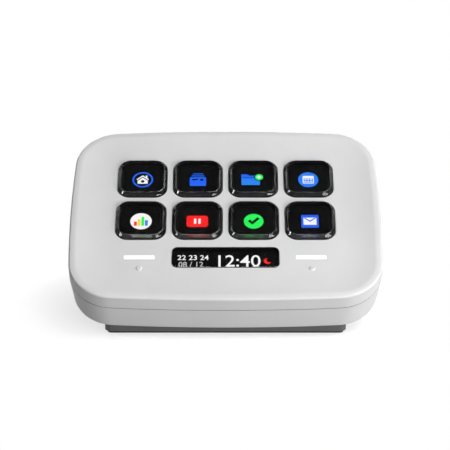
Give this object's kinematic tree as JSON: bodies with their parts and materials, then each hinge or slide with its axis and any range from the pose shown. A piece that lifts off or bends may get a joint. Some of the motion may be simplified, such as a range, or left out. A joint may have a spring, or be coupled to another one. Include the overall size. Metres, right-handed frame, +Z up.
{
  "type": "display key pad",
  "caption": "Small desk keypad with clear display keys in two rows, an information display and two touch points, tilted back on a wedge stand.",
  "frame": {"origin": "on the desk, under the middle of the keypad's bounding box", "axes": "+Z up, +X to the user's right, +Y away from the user; the face leans back 30 degrees about X"},
  "size_m": [0.107, 0.0742, 0.0555],
  "materials": {
    "shell_white": "satin moulded white plastic",
    "stand_grey": "matt dark grey plastic",
    "pad_rubber": "matt black rubber",
    "key_clear": "polished clear plastic over a black picture",
    "key_black": "black plastic frame",
    "mat_silicone": "grey silicone",
    "board_green": "solder-masked circuit board",
    "chip_black": "black moulded chip",
    "panel_glass": "dark display glass",
    "lens_black": "polished smoked lens",
    "guide_clear": "clear light guide",
    "bar_milky": "milky diffusing plastic",
    "tray_steel": "folded sheet steel",
    "ballast_steel": "plain steel plate",
    "screw_steel": "blackened screw steel",
    "socket_steel": "bright steel socket",
    "ribbon_amber": "amber flexible circuit",
    "foam_grey": "soft foam",
    "lamp_white": "white light-emitting diode"
  },
  "bodies": {
    "housing": {"ballast_plate": "ballast_steel", "ballast_screws": "screw_steel", "board_chips": "chip_black", "board_screws": "screw_steel", "display_ribbon": "ribbon_amber", "display_tray": "tray_steel", "dome_mat": "mat_silicone", "foot_pad": "pad_rubber", "front_shell": "shell_white", "info_display": "panel_glass", "info_ribbon": "ribbon_amber", "info_window": "lens_black", "key_display": "panel_glass", "light_bar_left": "bar_milky", "light_bar_right": "bar_milky", "light_guide": "guide_clear", "main_board": "board_green", "rear_shell": "shell_white", "stand_screws": "screw_steel", "stand_shell": "stand_grey", "status_lamps": "lamp_white", "switch_board": "board_green", "switch_ribbon": "ribbon_amber", "touch_board_left": "board_green", "touch_board_right": "board_green", "touch_foams": "foam_grey", "touch_ribbon_left": "ribbon_amber", "touch_ribbon_right": "ribbon_amber", "tray_foams": "foam_grey", "usb_socket": "socket_steel"},
    "key_1": {"keycap_1": "key_clear", "key_film_1": "key_black", "key_frame_1": "key_black"},
    "key_2": {"keycap_2": "key_clear", "key_film_2": "key_black", "key_frame_2": "key_black"},
    "key_3": {"keycap_3": "key_clear", "key_film_3": "key_black", "key_frame_3": "key_black"},
    "key_4": {"keycap_4": "key_clear", "key_film_4": "key_black", "key_frame_4": "key_black"},
    "key_5": {"keycap_5": "key_clear", "key_film_5": "key_black", "key_frame_5": "key_black"},
    "key_6": {"keycap_6": "key_clear", "key_film_6": "key_black", "key_frame_6": "key_black"},
    "key_7": {"keycap_7": "key_clear", "key_film_7": "key_black", "key_frame_7": "key_black"},
    "key_8": {"keycap_8": "key_clear", "key_film_8": "key_black", "key_frame_8": "key_black"}
  },
  "joints": [
    {"name": "key_1_press", "type": "slide", "parent": "housing", "child": "key_1", "axis": [0, 0.5, -0.866], "range_m": [0, 0.0012], "stiffness_N_per_m": 300, "springref_m": -0.0015, "deforming": ["dome_mat"]},
    {"name": "key_2_press", "type": "slide", "parent": "housing", "child": "key_2", "axis": [0, 0.5, -0.866], "range_m": [0, 0.0012], "stiffness_N_per_m": 300, "springref_m": -0.0015, "deforming": ["dome_mat"]},
    {"name": "key_3_press", "type": "slide", "parent": "housing", "child": "key_3", "axis": [0, 0.5, -0.866], "range_m": [0, 0.0012], "stiffness_N_per_m": 300, "springref_m": -0.0015, "deforming": ["dome_mat"]},
    {"name": "key_4_press", "type": "slide", "parent": "housing", "child": "key_4", "axis": [0, 0.5, -0.866], "range_m": [0, 0.0012], "stiffness_N_per_m": 300, "springref_m": -0.0015, "deforming": ["dome_mat"]},
    {"name": "key_5_press", "type": "slide", "parent": "housing", "child": "key_5", "axis": [0, 0.5, -0.866], "range_m": [0, 0.0012], "stiffness_N_per_m": 300, "springref_m": -0.0015, "deforming": ["dome_mat"]},
    {"name": "key_6_press", "type": "slide", "parent": "housing", "child": "key_6", "axis": [0, 0.5, -0.866], "range_m": [0, 0.0012], "stiffness_N_per_m": 300, "springref_m": -0.0015, "deforming": ["dome_mat"]},
    {"name": "key_7_press", "type": "slide", "parent": "housing", "child": "key_7", "axis": [0, 0.5, -0.866], "range_m": [0, 0.0012], "stiffness_N_per_m": 300, "springref_m": -0.0015, "deforming": ["dome_mat"]},
    {"name": "key_8_press", "type": "slide", "parent": "housing", "child": "key_8", "axis": [0, 0.5, -0.866], "range_m": [0, 0.0012], "stiffness_N_per_m": 300, "springref_m": -0.0015, "deforming": ["dome_mat"]}
  ]
}
